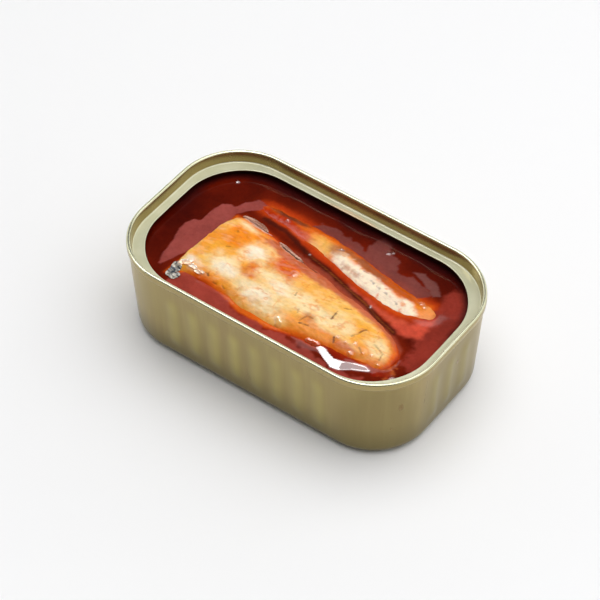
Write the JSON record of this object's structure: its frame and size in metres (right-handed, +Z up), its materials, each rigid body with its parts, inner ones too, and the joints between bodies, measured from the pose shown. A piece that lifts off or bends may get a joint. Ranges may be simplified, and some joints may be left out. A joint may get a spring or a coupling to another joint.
{
  "type": "sardine tin",
  "caption": "Opened oblong tin with rounded corners, a seamed lid ring and fluted sides, holding pieces of sardine in tomato sauce.",
  "frame": {"origin": "middle of the base, on the surface that the tin stands on", "axes": "+X along the tin towards the tail ends of the fish, +Y across it, +Z up out of the opening"},
  "size_m": [0.105, 0.0614, 0.033],
  "materials": {
    "tin_body": "matt gold lacquer on drawn aluminium, soft sheen",
    "lid_ring": "pale gold lacquer, satin",
    "sauce": "glossy wet tomato and oil sauce, deep red",
    "fish": "wet cream and orange skinned sardine flesh, glossy with sauce"
  },
  "bodies": {
    "root": {"tin_body": "tin_body", "lid_ring": "lid_ring", "sauce": "sauce", "fish_front": "fish", "fish_back": "fish"}
  },
  "joints": []
}
